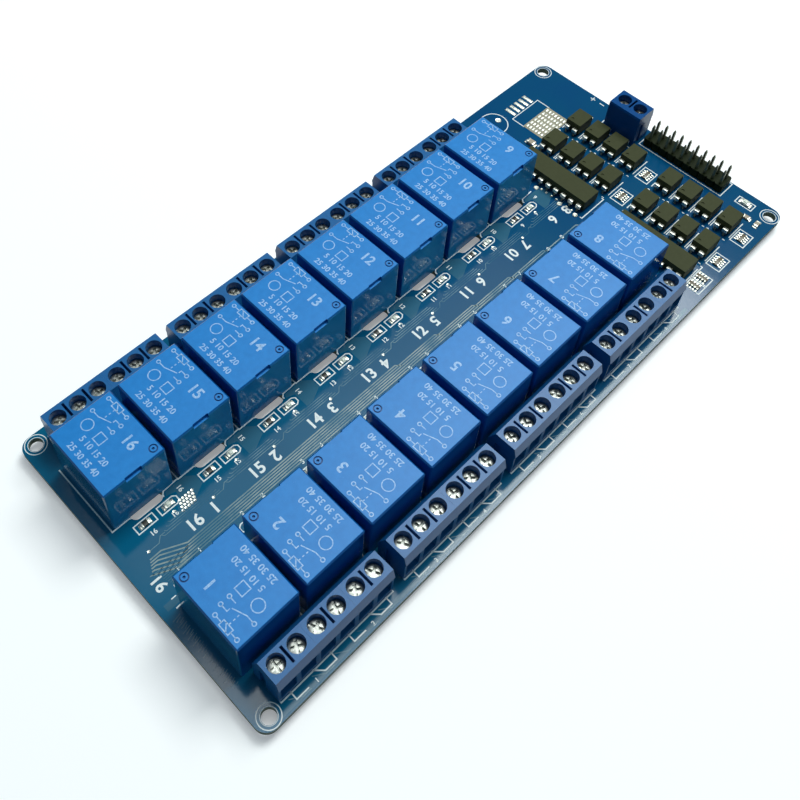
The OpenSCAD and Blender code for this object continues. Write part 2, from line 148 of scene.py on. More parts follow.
room_air, room_white = (0.1, 0.155, 0.19), (1, 1, 1)
air_from, white_below = 0.25, 0.1
room = bpy.data.worlds.new("room")
bpy.context.scene.world = room
room.use_nodes = True
nodes, links = room.node_tree.nodes, room.node_tree.links
nodes.clear()
room_out = nodes.new("ShaderNodeOutputWorld")
air = nodes.new("ShaderNodeBackground")
direction = nodes.new("ShaderNodeTexCoord")
parts = nodes.new("ShaderNodeSeparateXYZ")
links.new(direction.outputs["Generated"], parts.inputs[0])
by_camera, by_gloss = add_seen(room)
horizon = add_range(room, parts.outputs["Z"], air_from, white_below, 0, 1)
white = add_math(room, "MAXIMUM", by_camera, add_math(room, "MULTIPLY", by_gloss, horizon))
links.new(add_blend(room, white, room_air, room_white), air.inputs["Color"])
links.new(air.outputs[0], room_out.inputs["Surface"])

# Each lamp hangs level. Its numbers are its centre, its length and width, and its power in watts.
lamp_height, lamp_turn = 1.05, -9
lamp_colour = (0.94, 1, 0.98)
for centre_x, centre_y, length, width, power in (
        (0.59, 0.08, 0.64, 0.46, 11.2), (0.105, 0.09, 0.33, 0.38, 1.7), (0.4, 0.42, 0.74, 0.2, 0.56)):
    bpy.ops.object.light_add(type="AREA", location=(centre_x, centre_y, lamp_height),
                             rotation=(0, 0, math.radians(lamp_turn)))
    lamp = bpy.context.object
    lamp.data.shape = "RECTANGLE"
    lamp.data.size = length
    lamp.data.size_y = width
    lamp.data.energy = power
    lamp.data.color = lamp_colour

# ---- Board ----
# Glass laminate with copper on both faces under a blue solder mask. The routed
# edge and the drilled walls show the bare, pale laminate.
board_low, board_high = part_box("board")
board_top = board_high.z
board_under = board_low.z


def finish(name, colour, roughness, metallic=0.0, **sockets):
    """A new material and its shader; the other sockets are given by name, with _ for a space."""
    material = bpy.data.materials.new(name)
    material.use_nodes = True
    shader = material.node_tree.nodes["Principled BSDF"]
    shader.inputs["Base Color"].default_value = (*colour, 1)
    shader.inputs["Roughness"].default_value = roughness
    shader.inputs["Metallic"].default_value = metallic
    for socket, value in sockets.items():
        shader.inputs[socket.replace("_", " ")].default_value = value
    return material


def add_noise(material, scale, detail=3.0):
    """A noise pattern on the piece's own coordinates; the scale is in cells per metre."""
    nodes, links = material.node_tree.nodes, material.node_tree.links
    place = nodes.new("ShaderNodeTexCoord")
    noise = nodes.new("ShaderNodeTexNoise")
    noise.inputs["Scale"].default_value = scale
    noise.inputs["Detail"].default_value = detail
    links.new(place.outputs["Object"], noise.inputs["Vector"])
    return noise.outputs["Fac"]


def add_grain(material, scale, depth, detail=4.0):
    """Fine unevenness of the surface; depth is in metres."""
    nodes, links = material.node_tree.nodes, material.node_tree.links
    bump = nodes.new("ShaderNodeBump")
    bump.inputs["Strength"].default_value = 1.0
    bump.inputs["Distance"].default_value = depth
    links.new(add_noise(material, scale, detail), bump.inputs["Height"])
    links.new(bump.outputs["Normal"], nodes["Principled BSDF"].inputs["Normal"])


def set_input(material, socket, source):
    """Links a pattern to one of the shader's own sockets."""
    shader = material.node_tree.nodes["Principled BSDF"]
    material.node_tree.links.new(source, shader.inputs[socket])


def vary_colour(material, scale, colour_a, colour_b, spread=None):
    """Clouds the base colour from a to b; a spread of (low, high) makes the clouds distinct."""
    pattern = add_noise(material, scale)
    if spread:
        pattern = add_range(material, pattern, *spread, 0, 1)
    set_input(material, "Base Color", add_blend(material, pattern, colour_a, colour_b))


def add_facing(material):
    """The z part of the surface's own direction."""
    nodes, links = material.node_tree.nodes, material.node_tree.links
    surface = nodes.new("ShaderNodeNewGeometry")
    parts = nodes.new("ShaderNodeSeparateXYZ")
    links.new(surface.outputs["Normal"], parts.inputs[0])
    return parts.outputs["Z"]


def add_place(material, axis):
    """The X, Y or Z of the place on the piece, in metres."""
    nodes, links = material.node_tree.nodes, material.node_tree.links
    place = nodes.new("ShaderNodeTexCoord")
    parts = nodes.new("ShaderNodeSeparateXYZ")
    links.new(place.outputs["Object"], parts.inputs[0])
    return parts.outputs[axis]


def dress(node, material):
    """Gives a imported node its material."""
    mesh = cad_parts[node].data
    mesh.materials.clear()
    mesh.materials.append(material)


# Towards the plain end the mask carries painted light: it is painted lighter and greener there. A surface is
# bare laminate while its direction is nearly level, up to edge_to, and carries the mask once it is steep,
# from face_from.
mask_blue, mask_blue_patch = (0.001, 0.066, 0.185), (0.001, 0.076, 0.18)
# The lighter, greener mask colours are painted light for the plain end.
mask_painted_light, mask_painted_light_patch = (0.001, 0.12, 0.23), (0.002, 0.102, 0.205)
blue_from, painted_light_from = 0.05, -0.06
laminate_dark, laminate_pale = (0.10, 0.15, 0.13), (0.36, 0.40, 0.30)
mask_roughness, laminate_roughness = 0.11, 0.7
edge_to, face_from = 0.4, 0.6
mask = finish("solder_mask", mask_blue, mask_roughness, IOR=1.4)
mask_patches = add_range(mask, add_noise(mask, 45), 0.35, 0.65, 0, 1)
mask_tone = add_blend(mask, add_range(mask, add_place(mask, "X"), blue_from, painted_light_from, 0, 1),
                      add_blend(mask, mask_patches, mask_blue, mask_blue_patch),
                      add_blend(mask, mask_patches, mask_painted_light, mask_painted_light_patch))
edge_tone = add_blend(mask, add_noise(mask, 2500), laminate_dark, laminate_pale)
steep = add_math(mask, "ABSOLUTE", add_facing(mask))
on_face = add_range(mask, steep, edge_to, face_from, 0, 1)
set_input(mask, "Base Color", add_blend(mask, on_face, edge_tone, mask_tone))
set_input(mask, "Roughness",
          add_range(mask, steep, edge_to, face_from, laminate_roughness, mask_roughness))
add_grain(mask, 700, 0.000004)
dress("board", mask)


def draw_lines(name, paths, width, height, level, material, closed=False):
    """Lays low ribbons along paths of (x, y) points in mm on a face at height level, as one mesh."""
    ribbon = ((-0.5, -1), (0.5, -1), (0.4, 1), (-0.4, 1))
    section = bpy.data.curves.new(name + "_section", "CURVE")
    section.dimensions = "2D"
    corners = section.splines.new("POLY")
    corners.points.add(len(ribbon) - 1)
    for point, (x, y) in zip(corners.points, ribbon):
        point.co = (x * width, y * height, 0, 1)
    corners.use_cyclic_u = True
    across = bpy.data.objects.new(name + "_section", section)
    bpy.context.collection.objects.link(across)
    curve = bpy.data.curves.new(name, "CURVE")
    curve.dimensions = "2D"
    curve.fill_mode = "NONE"
    curve.bevel_mode = "OBJECT"
    curve.bevel_object = across
    curve.use_fill_caps = True
    for path in paths:
        spline = curve.splines.new("POLY")
        spline.points.add(len(path) - 1)
        for point, (x, y) in zip(spline.points, path):
            point.co = (x * mm, y * mm, 0, 1)
        spline.use_cyclic_u = closed
    drawn = settle(name, curve, level, material)
    bpy.data.objects.remove(across)
    return drawn


def close_up(weld=0.001 * mm):
    """Welds the seams of a converted curve, turns its faces outwards and shades them plainly."""
    bpy.ops.object.mode_set(mode="EDIT")
    bpy.ops.mesh.select_all(action="SELECT")
    bpy.ops.mesh.remove_doubles(threshold=weld)
    bpy.ops.mesh.normals_make_consistent(inside=False)
    bpy.ops.object.mode_set(mode="OBJECT")
    bpy.ops.object.shade_flat()
    return bpy.context.object


def settle(name, curve, level, material):
    """Makes a flat curve a mesh with plain faces at height level."""
    bpy.ops.object.select_all(action="DESELECT")
    drawn = bpy.data.objects.new(name, curve)
    bpy.context.collection.objects.link(drawn)
    drawn.select_set(True)
    bpy.context.view_layer.objects.active = drawn
    bpy.ops.object.convert(target="MESH")
    drawn = close_up()
    drawn.data.transform(Matrix.Translation((0, 0, level)))
    drawn.data.materials.clear()
    drawn.data.materials.append(material)
    return drawn


def join(name, members):
    """Makes one piece of several."""
    bpy.ops.object.select_all(action="DESELECT")
    for member in members:
        member.select_set(True)
    bpy.context.view_layer.objects.active = members[0]
    if len(members) > 1:
        bpy.ops.object.join()
    members[0].name = name
    return members[0]


def hand_over(piece, slot, *replaced):
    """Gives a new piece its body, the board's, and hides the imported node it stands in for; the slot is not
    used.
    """
    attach(piece, "root")
    if replaced:
        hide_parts(*replaced)


# ---- Copper under the mask ----
# Etched tracks and poured areas, which the mask follows as low ridges. The ridges'
# paler blue is partly the mask's own tone over copper and partly painted sheen. A bus
# runs between the rows, one track to each relay, and other tracks fan out round the plain end.
board_length = (board_high.x - board_low.x) / mm
board_width = (board_high.y - board_low.y) / mm
left_edge, lower_edge = -board_length / 2, -board_width / 2
relay_low, relay_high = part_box("relay_cover_k16")
last_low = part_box("relay_cover_k09")[0]
relay_count = 8
relay_pitch = (last_low.x - relay_low.x) / mm / (relay_count - 1)
first_relay = (relay_low.x + relay_high.x) / 2 / mm
relay_x = [first_relay + relay_pitch * i for i in range(relay_count)]
row_middle = (relay_x[0] + relay_x[-1]) / 2
relay_inner = relay_low.y / mm
relay_top = relay_high.z
way_pitch, way_line = 5.08, 34.8
group_pitch = 3 * way_pitch
first_bank_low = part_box("terminal_bank_lower_1")[0]
second_bank_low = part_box("terminal_bank_lower_2")[0]
bank_pitch = (second_bank_low.x - first_bank_low.x) / mm
first_way = first_bank_low.x / mm + way_pitch / 2
bank_count, ways_per_bank = 4, 6
bank_starts = [first_way + bank_pitch * bank for bank in range(bank_count)]


def turned(path, x, y, half_turn):
    """A path drawn for an upper relay, set at its place or half-turned for the lower row."""
    s = -1 if half_turn else 1
    return [(x + s * u, s * (y + v)) for u, v in path]


def turned_row(path, half_turn):
    """A path along the lower edge, or the same half-turned to the upper edge."""
    return [(2 * row_middle - x, -y) for x, y in path] if half_turn else path


def draw_patches(name, outlines, height, level, material):
    """Lays thin filled shapes with outlines of (x, y) points in mm on a face at height level."""
    curve = bpy.data.curves.new(name, "CURVE")
    curve.dimensions = "2D"
    curve.fill_mode = "BOTH"
    curve.extrude = height
    for outline in outlines:
        spline = curve.splines.new("POLY")
        spline.points.add(len(outline) - 1)
        for point, (x, y) in zip(spline.points, outline):
            point.co = (x * mm, y * mm, 0, 1)
        spline.use_cyclic_u = True
    return settle(name, curve, level, material)


# The pale ends of the track colours are partly painted sheen.
track = finish("masked_track_painted_sheen", (0.04, 0.16, 0.24), 0.16, IOR=1.4)
vary_colour(track, 170, (0.01, 0.12, 0.21), (0.17, 0.3, 0.35), (0.4, 0.62))
add_grain(track, 1500, 0.000008)
bus_track = finish("masked_bus_painted_sheen", (0.22, 0.32, 0.34), 0.25, IOR=1.4)
vary_colour(bus_track, 220, (0.07, 0.19, 0.25), (0.29, 0.37, 0.36), (0.36, 0.62))
add_grain(bus_track, 1500, 0.000008)
pour = finish("masked_pour", (0.03, 0.12, 0.22), 0.13, IOR=1.4)
vary_colour(pour, 120, (0.02, 0.12, 0.2), (0.045, 0.15, 0.235))
add_grain(pour, 700, 0.000004)

# Each lower track of the bus reaches one step further towards the header.
bus_width, bus_pitch, bus_count, bus_step = 0.34, 0.58, 6, 13
track_width, track_height = 0.2, 0.018
bus_start = relay_x[-1] + 8
bus, tracks = [], []
for i in range(bus_count):
    y = -1.8 - bus_pitch * i
    right = bus_start - bus_step * (bus_count - 1 - i)
    left = first_relay + 1.5 - 0.9 * i
    bus.append([(right + 1.2, y - 1.2), (right, y), (left, y), (left - 5, y + 2.4),
                (left_edge + 5.4 - 0.3 * i, y + 2.4)])

# A fan of tracks crosses the plain end, and short ones run up its edge by the lower row.
fan_count, end_count = 10, 36
for k in range(fan_count):
    y = -2.4 - 0.5 * k
    tracks.append([(first_relay + 1.2 - 0.5 * k, y), (left_edge + 4.2 + 0.2 * k, y)])
for k in range(end_count):
    y = -relay_inner - 1.4 - 0.52 * k
    tracks.append([(left_edge + 1.0 + 0.5 * (k % 3), y - 0.4), (left_edge + 3.1 - 0.3 * (k % 2), y)])

# Each upper relay's coil tracks, with links to its lamp, and links along the lower edge.
for x in relay_x:
    for k in range(4):
        y = 2.6 + 0.55 * k
        tracks.append([(x + 13.6 - 0.5 * k, y), (x - 1.0 + 0.9 * k, y), (x - 1.4 + 0.9 * k, y + 0.4)])
    tracks.append([(x - 5.5, 2.1), (x - 2.9, 2.1), (x - 1.8, 3.2), (x - 0.6, 3.2)])
    tracks.append([(x + 3.6, 5.4), (x + 4.6, 4.4), (x + 5.8, 4.4)])
for start in bank_starts:
    for k in range(5):
        tracks.append([(start - 1 + 6 * k, -38.9), (start + 1.4 + 6 * k, -40.4),
                       (start + 3.6 + 6 * k, -40.4)])
top_tracks = join("top_tracks", [
    draw_lines("bus", bus, bus_width * mm, track_height * mm, board_top, bus_track),
    draw_lines("tracks", tracks, track_width * mm, track_height * mm, board_top, track)])
hand_over(top_tracks, "board_blue")

pour_height = 0.006
channel_pour = [(4.5, -1.4), (5.0, -0.5), (10.2, -0.5), (12.0, -2.0), (12.0, -4.4), (8.4, -6.2),
                (6.6, -6.2), (6.6, -2.0)]
small_pour = [(4.5, -1.4), (5.0, -0.5), (10.2, -0.5), (10.2, -2.0), (6.6, -2.0)]
edge_pour = [(left_edge + 4.6, lower_edge + 0.5), (bank_starts[-1] + 29, lower_edge + 0.5),
             (bank_starts[-1] + 29, lower_edge + 1.5), (left_edge + 5.6, lower_edge + 1.5)]
pours = []
for x in relay_x:
    pours.append(turned(channel_pour, x, relay_inner, False))
    pours.append(turned(small_pour, x, relay_inner, True))
pours.append(edge_pour)
poured_copper = draw_patches("poured_copper", pours, pour_height * mm, board_top, pour)
hand_over(poured_copper, "board_blue")

# On the underside broad tracks carry each relay's contacts to its three
# terminals, and narrow ones run from the drivers to the coils.
broad_width, broad_height, narrow_width = 1.9, 0.02, 0.4
contact_pins = ((6.0, 16.8), (0.0, 3.2), (-6.0, 16.8))
broad, narrow = [], []
for i, x in enumerate(relay_x):
    for half_turn in (False, True):
        order = relay_count - 1 - i if half_turn else i
        start = bank_starts[order // 2] + group_pitch * (order % 2)
        here = 2 * row_middle - x if half_turn else x
        for way, (u, v) in enumerate(contact_pins):
            pin_x, pin_y = here - u, -relay_inner - v
            to_x = start + way * way_pitch
            bend = -way_line + abs(to_x - pin_x) + 1.6
            path = [(pin_x, pin_y), (pin_x, min(bend, pin_y - 0.4)), (to_x, -way_line + 1.6),
                    (to_x, -way_line)]
            broad.append(turned_row(path, half_turn))
    run = -3.4 - 0.35 * i
    narrow.append(turned([(6.0, 5.2), (6.0, 1.6), (5.2, 0.8), (5.2, run), (bus_start - x, run)],
                         x, relay_inner, False))
    run = -6.8 + 0.4 * i
    narrow.append([(x - 6, -relay_inner - 5.2), (x - 6, run), (bus_start, run)])
under_tracks = join("under_tracks", [
    draw_lines("broad", broad, broad_width * mm, broad_height * mm, board_under, track),
    draw_lines("narrow", narrow, narrow_width * mm, track_height * mm, board_under, track)])
hand_over(under_tracks, "board_blue")

# ---- Solder on the board ----
# Tinned places that the mask leaves open: small through-holes, the pads of an
# empty regulator and capacitor place, and the pads of the chip parts.
solder = finish("bright_tin", (0.78, 0.77, 0.68), 0.38, metallic=1.0)
set_input(solder, "Roughness", add_range(solder, add_noise(solder, 1600), 0.35, 0.65, 0.28, 0.5))
add_grain(solder, 2200, 0.00004)
# Dull tin covers the empty tab, and on the leads it is painted shade below the shoulder.
matt_tin_and_lead_shade = finish("matt_tin_and_painted_lead_shade", (0.3, 0.28, 0.22), 0.55, metallic=0.5)
vary_colour(matt_tin_and_lead_shade, 1500, (0.2, 0.19, 0.14), (0.42, 0.38, 0.28))
add_grain(matt_tin_and_lead_shade, 1800, 0.00005)


def pick(piece, test):
    """Selects, in edit mode, the faces whose centre and normal pass a test."""
    bpy.ops.object.mode_set(mode="OBJECT")
    bpy.context.tool_settings.mesh_select_mode = (False, False, True)
    for parts_of in (piece.data.vertices, piece.data.edges, piece.data.polygons):
        parts_of.foreach_set("select", [False] * len(parts_of))
    for face in piece.data.polygons:
        face.select = test(face.center, face.normal)
    bpy.ops.object.mode_set(mode="EDIT")


def is_top(centre, normal):
    """True for the faces that look up."""
    return normal.z > 0.9


def block(name, size, centre, material):
    """A box of (x, y, z) mm to shape further, with its material."""
    place = Matrix.Translation([c * mm for c in centre])
    bpy.ops.object.select_all(action="DESELECT")
    bpy.ops.mesh.primitive_cube_add(size=1)
    piece = bpy.context.object
    piece.name = name
    piece.data.transform(place @ Matrix.Diagonal([*(d * mm for d in size), 1]))
    piece.data.materials.append(material)
    return piece


def disc(name, radius, depth, facets, material):
    """A round of (radius, depth) mm to shape further, with its material."""
    bpy.ops.object.select_all(action="DESELECT")
    bpy.ops.mesh.primitive_cylinder_add(vertices=facets, radius=radius * mm, depth=depth * mm)
    piece = bpy.context.object
    piece.name = name
    piece.data.materials.append(material)
    return piece


def dish(piece, rim, depth):
    """Sinks the top inside a rim; both are in mm."""
    pick(piece, is_top)
    bpy.ops.mesh.inset(thickness=rim * mm)
    bpy.ops.transform.translate(value=(0, 0, -depth * mm))


def ease(piece, width, segments=2):
    """Rounds all edges by a width in mm and shades them softly."""
    bpy.ops.object.mode_set(mode="OBJECT")
    bpy.ops.object.select_all(action="DESELECT")
    piece.select_set(True)
    bpy.context.view_layer.objects.active = piece
    rounding = piece.modifiers.new("rounding", "BEVEL")
    rounding.width = width * mm
    rounding.segments = segments
    rounding.limit_method = "ANGLE"
    bpy.ops.object.modifier_apply(modifier=rounding.name)
    bpy.ops.object.shade_smooth()
    return piece


def solder_pad(name, size, taper, rounding, along=0, across=0):
    """A low mound of solder of (x, y, z) mm, whose top is drawn in by the taper's x and y."""
    pad = block(name, size, (along, across, size[2] / 2), solder)
    pick(pad, is_top)
    bpy.ops.transform.resize(value=(*taper, 1))
    return ease(pad, rounding)


def at(x, y, level, turn=0.0):
    """A place on the board in mm, turned by degrees."""
    return Matrix.Translation((x * mm, y * mm, level)) @ Matrix.Rotation(math.radians(turn), 4, "Z")


def copies(name, shape, places):
    """One piece made of copies of a shape, one for each place; the shape itself goes."""
    bpy.ops.object.mode_set(mode="OBJECT")
    made = []
    for place in places:
        mesh = shape.data.copy()
        mesh.transform(place)
        made.append(bpy.data.objects.new(name, mesh))
        bpy.context.collection.objects.link(made[-1])
    bpy.data.objects.remove(shape)
    return join(name, made)


via = disc("via", radius=0.36, depth=0.1, facets=12, material=solder)
dish(via, rim=0.14, depth=0.04)
driver_low, driver_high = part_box("driver_1")
driver_x = (driver_low.x + driver_high.x) / 2 / mm
test_land_scale = 1.9
test_lands = [at(driver_x - 5.2, y, board_top) @ Matrix.Scale(test_land_scale, 4)
              for y in (10.65, 2.8, -2.5)]
via_places = [at(driver_x - 4.6, 9.4 - 1.7 * k, board_top) for k in range(7)]
via_places += [at(first_relay + 5.2 + 0.8 * a + 0.3 * b, 4.3 + 0.75 * b, board_top)
               for a in range(5) for b in range(4)]
for x in relay_x:
    via_places += [at(x + u, y, board_top) for u, y in ((3.6, 5.4), (-5.5, 2.1), (1.2, -8.5))]
vias = copies("vias", via, via_places + test_lands)
hand_over(vias, "tin")

# The empty places: a tab with rows of solder lumps and five leads, and two round lands.
tab_x, tab_y = 72.0, 24.3
lump_pitch_x, lump_pitch_y = 1.75, 1.02
regulator_pitch, regulator_y = 1.9, 34.2
capacitor_x, capacitor_y, capacitor_reach = 61.0, 34.4, 1.9
lump = solder_pad("lump", (1.5, 0.86, 0.22), taper=(0.6, 0.55), rounding=0.16)
lead_pad = solder_pad("lead_pad", (1.3, 3.7, 0.18), taper=(0.6, 0.85), rounding=0.1)
tab_pads = copies("tab_pads", lump, [
    at(tab_x + lump_pitch_x * (k - 2.5), tab_y + lump_pitch_y * (n - 3), board_top)
    for k in range(6) for n in range(7)])
tab = block("tab", (11.2, 7.6, 0.06), (tab_x, tab_y, 0.03), matt_tin_and_lead_shade)
tab.data.transform(Matrix.Translation((0, 0, board_top)))
regulator_pads = copies("regulator_pads", lead_pad, [
    at(tab_x + regulator_pitch * (k - 2), regulator_y, board_top) for k in range(5)])
land = disc("land", radius=0.85, depth=0.16, facets=20, material=solder)
dish(land, rim=0.3, depth=0.07)
lands = copies("capacitor_lands", land, [
    at(capacitor_x + s * capacitor_reach, capacitor_y, board_top) for s in (-1, 1)])
hand_over(join("empty_place_pads", [tab_pads, tab, regulator_pads, lands]), "tin")

# ---- Screen print ----
# White epoxy ink on the mask: outlines of relays, parts and terminals, contact
# diagrams along the edges, rings at the mounting holes, and plain numbers.
ink = finish("white_ink", (0.88, 0.92, 0.9), 0.5)
vary_colour(ink, 1800, (0.76, 0.82, 0.82), (0.94, 0.96, 0.94))
ink_height = 0.025 * mm


def circle(x, y, radius, count=28):
    """The points of a ring round (x, y), in mm."""
    turns = [math.radians(360 * k / count) for k in range(count)]
    return [(x + radius * math.cos(turn), y + radius * math.sin(turn)) for turn in turns]


def rectangle(x, y, length, width):
    """The corners of a rectangle round (x, y), in mm."""
    return [(x - length / 2, y - width / 2), (x + length / 2, y - width / 2),
            (x + length / 2, y + width / 2), (x - length / 2, y + width / 2)]


def box_corners(low_x, low_y, high_x, high_y):
    """The corners of a rectangle between two of them, in mm."""
    return [(low_x, low_y), (high_x, low_y), (high_x, high_y), (low_x, high_y)]


# Each relay's corner marks, its resistor's box and its lamp's box, which has two corners cut.
open_lines, closed_lines, thin_lines = [], [], []
resistor_u, lamp_u, chip_row = -2.34, 3.65, -3.3
corner_marks = ([(-8.4, 19.2), (-8.4, -0.1), (-4.15, -0.1), (-3.8, -0.4)],
                [(8.6, 0.1), (4.78, -0.08), (4.1, -0.8), (4.1, -1.25)])
resistor_box = rectangle(resistor_u, chip_row, 4.8, 2.1)
lamp_box = [(lamp_u + u, chip_row + v) for u, v in (
    (-2.4, -1.05), (1.7, -1.05), (2.4, -0.5), (2.4, 0.5), (1.7, 1.05), (-2.4, 1.05))]
for x in relay_x:
    for half_turn in (False, True):
        open_lines += [turned(path, x, relay_inner, half_turn) for path in corner_marks]
        closed_lines.append(turned(resistor_box, x, relay_inner, half_turn))
        closed_lines.append(turned(lamp_box, x, relay_inner, half_turn))

# Each terminal bank's outline, and under each relay's three ways a short contact diagram.
terminal_edge = 38.35
for start in bank_starts:
    for half_turn in (False, True):
        thin_lines.append(turned_row([(start - 2.3, -36.8), (start - 2.3, -terminal_edge),
                                      (start + 27.8, -terminal_edge), (start + 27.8, -36.8)], half_turn))
        for group in (0, 1):
            a = start + group_pitch * group
            for path in ([(a + 0.2, -37), (a + 0.2, -39.95), (a + 3.3, -39.98)],
                         [(a + 5.4, -37), (a + 6.1, -38.4), (a + 7.65, -39.93), (a + 10.65, -39.93),
                          (a + 10.65, -38.4), (a + 10.55, -37)]):
                thin_lines.append(turned_row(path, half_turn))

header_low, header_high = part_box("header_body")
power_low, power_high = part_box("power_terminal")
closed_lines.append(box_corners(header_low.x / mm - 0.6, header_low.y / mm - 0.6,
                                header_high.x / mm + 0.4, header_high.y / mm + 0.6))
thin_lines.append([(power_low.x / mm - 1.0, power_low.y / mm),
                   (power_low.x / mm - 1.0, power_high.y / mm + 0.8),
                   (power_high.x / mm, power_high.y / mm + 0.8)])
# A minus and a plus beside the supply terminal.
sign_x, sign_reach = 90.0, 0.8
for y, strokes in ((power_high.y / mm + 5.2, [(0, 1)]), (power_high.y / mm + 8.4, [(0, 1), (1, 0)])):
    for dx, dy in strokes:
        open_lines.append([(sign_x - sign_reach * dx, y - sign_reach * dy),
                           (sign_x + sign_reach * dx, y + sign_reach * dy)])
opto_nodes = ["optocouplers_1_inner", "optocouplers_1_outer",
              "optocouplers_2_inner", "optocouplers_2_outer"]
inner_x, outer_x = ((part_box(node)[0].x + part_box(node)[1].x) / 2 / mm for node in opto_nodes[:2])
# A resistor array ends each column of optocouplers, and two more, turned, end the drivers' column.
array_row, array_drop = -7.4, 30.0
array_inset, array_half_gap = 1.2, 1.7
array_places = [(outer_x - array_inset, array_row + 0.2, 0), (inner_x - array_inset, array_row + 0.2, 0),
                (outer_x - array_inset, array_row - array_drop, 0),
                (inner_x - array_inset, array_row - array_drop, 0),
                (driver_x + array_half_gap, array_row - array_drop, 90),
                (driver_x - array_half_gap, array_row - array_drop, 90)]
for x, y, turn in array_places:
    closed_lines.append(rectangle(x, y, *((5.0, 3.9) if turn == 0 else (3.0, 4.6))))
opto_pitch, opto_rows = 6.25, 4
opto_centres = []
for bank in (1, 2):
    low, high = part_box(f"optocouplers_{bank}_inner")
    for k in range(opto_rows):
        y = high.y / mm - (high.y - low.y - (opto_rows - 1) * opto_pitch * mm) / 2 / mm - opto_pitch * k
        opto_centres += [(inner_x, y), (outer_x, y)]
for x, y in opto_centres:
    for s in (-1, 1):
        thin_lines.append([(x - 3.4, y + 2.85 * s), (x + 3.4, y + 2.85 * s)])
    thin_lines.append([(x - 5.0, y - 2.6), (x - 5.0, y - 1.9)])
    thin_lines.append([(x + 4.9, y + 2.6), (x + 4.9, y + 1.9)])
    closed_lines.append(circle(x - 4.9, y + 2.75, 0.25, 8))
for node in ("driver_1", "driver_2"):
    low, high = (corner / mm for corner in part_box(node))
    for inner_end, outer_end in ((low.y - 0.6, low.y - 1.2), (high.y + 0.4, high.y + 1.0)):
        thin_lines.append([(low.x - 1.6, inner_end), (low.x - 1.6, outer_end),
                           (high.x + 1.6, outer_end), (high.x + 1.6, inner_end)])
closed_lines.append(box_corners(66.4, 27.9, 77.7, 32.0))
closed_lines.append(circle(capacitor_x, capacitor_y, 4.0, 36))
power_lamp_x, power_lamp_y = header_low.x / mm + 2.0, header_low.y / mm - 6.8
closed_lines.append(rectangle(power_lamp_x, power_lamp_y, 2.6, 4.9))

hole_inset_x, hole_inset_y = 3.2, 2.6
hole_x, hole_y = board_length / 2 - hole_inset_x, board_width / 2 - hole_inset_y
holes = [(sx * hole_x, sy * hole_y) for sx in (-1, 1) for sy in (-1, 1)]
rings = [circle(x, y, 2.45, 40) for x, y in holes]
rims = [circle(x, y, 1.75, 32) for x, y in holes]
outlines = [draw_lines(name, paths, width * mm, ink_height, board_top, ink, closed)
            for name, paths, width, closed in (
                ("ink_open", open_lines, 0.36, False), ("ink_closed", closed_lines, 0.32, True),
                ("ink_thin", thin_lines, 0.33, False), ("ink_rings", rings, 0.25, True),
                ("ink_rims", rims, 0.16, True))]


def number_shape(text, height, weight):
    """The mesh of a plain number, centred; its digits' height and added weight are in mm."""
    digit_share = 0.72
    bpy.ops.object.select_all(action="DESELECT")
    bpy.ops.object.text_add()
    digits = bpy.context.object
    digits.data.body = text
    digits.data.size = height * mm / digit_share
    digits.data.extrude = ink_height / 2
    digits.data.offset = weight * mm
    digits.data.resolution_u = 3
    digits.data.align_x = "CENTER"
    digits.data.align_y = "CENTER"
    bpy.ops.object.convert(target="MESH")
    shape = close_up().data
    bpy.data.objects.remove(bpy.context.object)
    return shape


def place_shape(name, shape, x, y, level, turn=0.0, material=ink):
    """A copy of a flat shape at (x, y) in mm, turned by degrees."""
    mesh = shape.copy()
    mesh.transform(at(x, y, level, turn))
    mesh.materials.clear()
    mesh.materials.append(material)
    placed = bpy.data.objects.new(name, mesh)
    bpy.context.collection.objects.link(placed)
    return placed


numbers = []


def stamp(shape, x, y, turn=0.0):
    """Prints a number on the board."""
    numbers.append(place_shape("number", shape, x, y, board_top, turn))


def channel_of(i, half_turn):
    """The lower row counts up from the plain end, and the upper row comes back."""
    return i + 1 if half_turn else 2 * relay_count - i


for i, x in enumerate(relay_x):
    for half_turn in (False, True):
        s = -1 if half_turn else 1
        small = number_shape(str(channel_of(i, half_turn)), 1.15, 0.04)
        for u, v, turn in ((7.7, -2.0, -90), (-2.25, -6.05, 0), (3.45, -5.88, 0)):
            stamp(small, x + s * u, s * (relay_inner + v), turn)
    for half_turn, u, turn in ((False, 5.2, 0), (True, 10.4, 180)):
        stamp(number_shape(str(channel_of(i, half_turn)), 2.8, 0.1), x + u, 0.4, turn)
number_in, number_row = 5.3, -40.1
for n, start in enumerate(bank_starts):
    for group in (0, 1):
        channel = number_shape(str(2 * n + group + 1), 1.0, 0.03)
        stamp(channel, start + group_pitch * group + number_in, number_row)
    for group in (0, 1):
        channel = number_shape(str(relay_count + 1 + 2 * n + group), 1.0, 0.03)
        x, y = turned_row([(start + group_pitch * group + number_in, number_row)], True)[0]
        stamp(channel, x, y, 180)
stamp(number_shape("16", 2.6, 0.08), left_edge + 3.6, -4.5, -90)
for k in range(8):
    x, y = opto_centres[2 * k]
    stamp(number_shape(str(k + 1), 0.9, 0.02), x - 5.1, y + 1.2)
screen_print = join("screen_print", outlines + numbers)
hand_over(screen_print, "board_blue")
